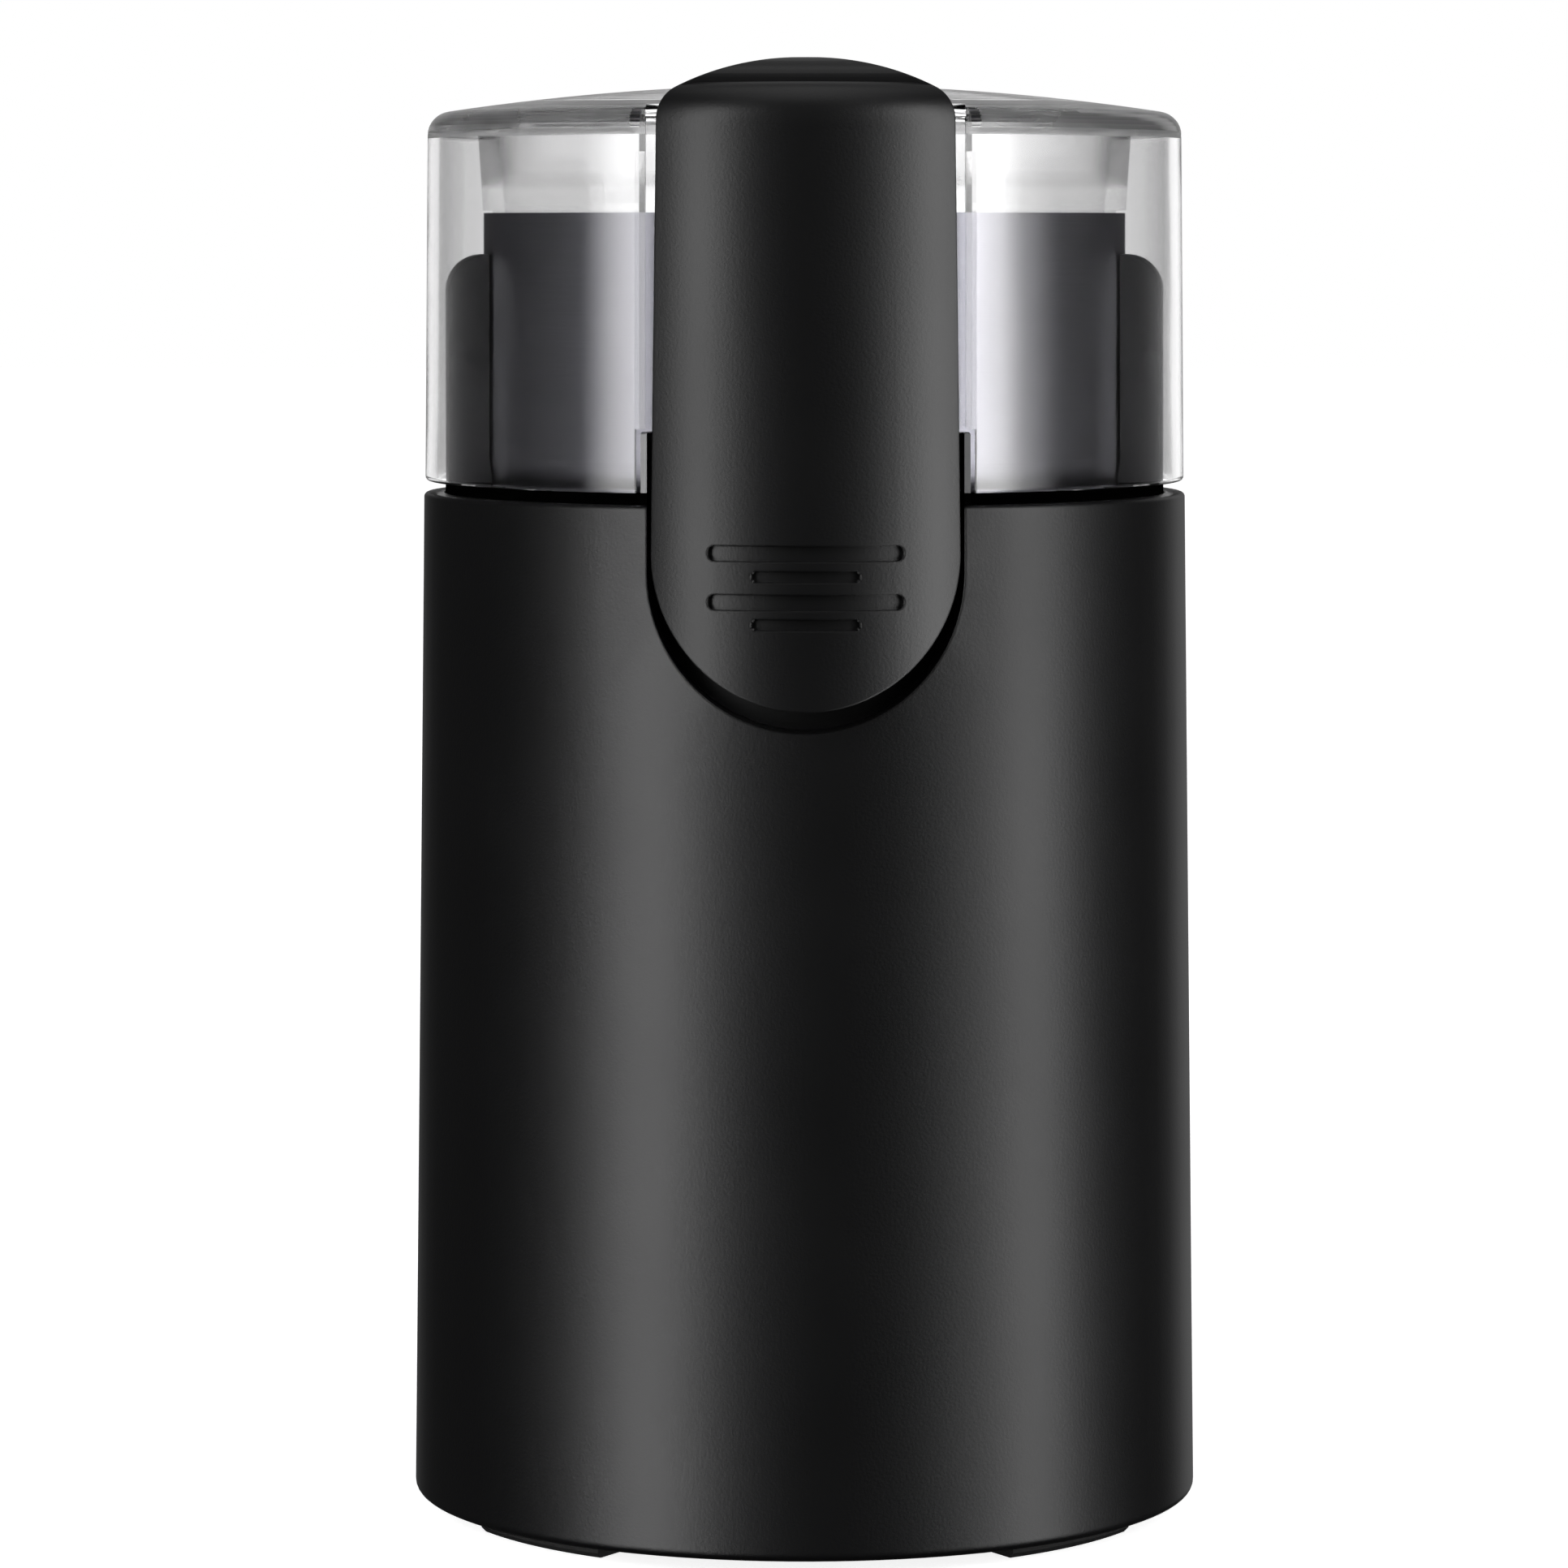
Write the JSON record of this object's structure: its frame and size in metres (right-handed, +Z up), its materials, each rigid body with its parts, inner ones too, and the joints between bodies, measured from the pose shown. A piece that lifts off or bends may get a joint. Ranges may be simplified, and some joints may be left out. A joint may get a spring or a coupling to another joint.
{
  "type": "electric spice grinder",
  "caption": "Upright electric spice grinder: steel bowl with a spinning blade over a motor, lift-off clear lid, and a front press tongue that works the switch.",
  "frame": {"origin": "on the table under the motor's axis", "axes": "+Z up along the motor's axis; -Y to the front, where the press tongue is; +X to the right as seen from the front"},
  "size_m": [0.093, 0.096, 0.1714],
  "materials": {
    "black_plastic": "satin",
    "inner_plastic": "satin",
    "clear_plastic": "polished",
    "bowl_steel": "polished",
    "zinc_steel": "satin",
    "bright_steel": "polished",
    "core_steel": "matt",
    "copper_wire": "gloss",
    "bronze": "satin",
    "cast_alloy": "satin",
    "rubber": "matt",
    "carbon": "matt",
    "white_nylon": "satin",
    "red_button": "satin",
    "lead_sleeve": "satin"
  },
  "bodies": {
    "housing": {"housing_shell": "black_plastic", "base_plate": "black_plastic", "base_screws": "zinc_steel", "feet": "rubber", "cord_gland": "rubber", "bowl_holder": "inner_plastic", "holder_screws": "zinc_steel", "bowl": "bowl_steel", "bowl_hub": "zinc_steel", "hub_nut": "zinc_steel", "shaft_seal": "rubber", "upper_bearing": "bronze", "top_bracket": "cast_alloy", "stator_core": "core_steel", "field_coils": "copper_wire", "bottom_bracket": "cast_alloy", "lower_bearing": "bronze", "brush_tubes": "bronze", "carbon_brushes": "carbon", "brush_springs": "bright_steel", "motor_bolts": "zinc_steel", "motor_dampers": "rubber", "switch_body": "inner_plastic", "switch_terminals": "bronze", "switch_screws": "zinc_steel", "plunger_spring": "bright_steel", "motor_leads": "lead_sleeve"},
    "rotor": {"motor_shaft": "bright_steel", "armature_core": "core_steel", "armature_windings": "copper_wire", "commutator": "copper_wire", "cooling_fan": "white_nylon", "blade_hub": "zinc_steel", "blade": "bright_steel", "blade_nut": "bright_steel"},
    "plunger": {"switch_plunger": "white_nylon", "switch_button": "red_button"},
    "lid": {"lid_shell": "clear_plastic", "lid_cap": "black_plastic", "hinge_pin": "bright_steel", "lever_spring": "bright_steel"},
    "lever": {"press_tongue": "black_plastic"}
  },
  "joints": [
    {"name": "lid_lift", "type": "slide", "parent": "housing", "child": "lid", "axis": [0, 0, 1], "range_m": [0, 0.065]},
    {"name": "tongue_press", "type": "hinge", "parent": "lid", "child": "lever", "pos_m": [0, -0.0423, 0.16], "axis": [1, 0, 0], "range_deg": [0, 2.6], "stiffness_Nm_per_rad": 3, "springref_deg": -1.72},
    {"name": "plunger_slide", "type": "slide", "parent": "housing", "child": "plunger", "axis": [0, 1, 0], "range_m": [0, 0.0025], "deforming": ["plunger_spring"]},
    {"name": "rotor_spin", "type": "hinge", "parent": "housing", "child": "rotor", "pos_m": [0, 0, 0.07], "axis": [0, 0, 1], "continuous": true}
  ],
  "couplings": [
    {"joint": "plunger_slide", "follows": "tongue_press", "m_per_rad": 0.0545}
  ]
}
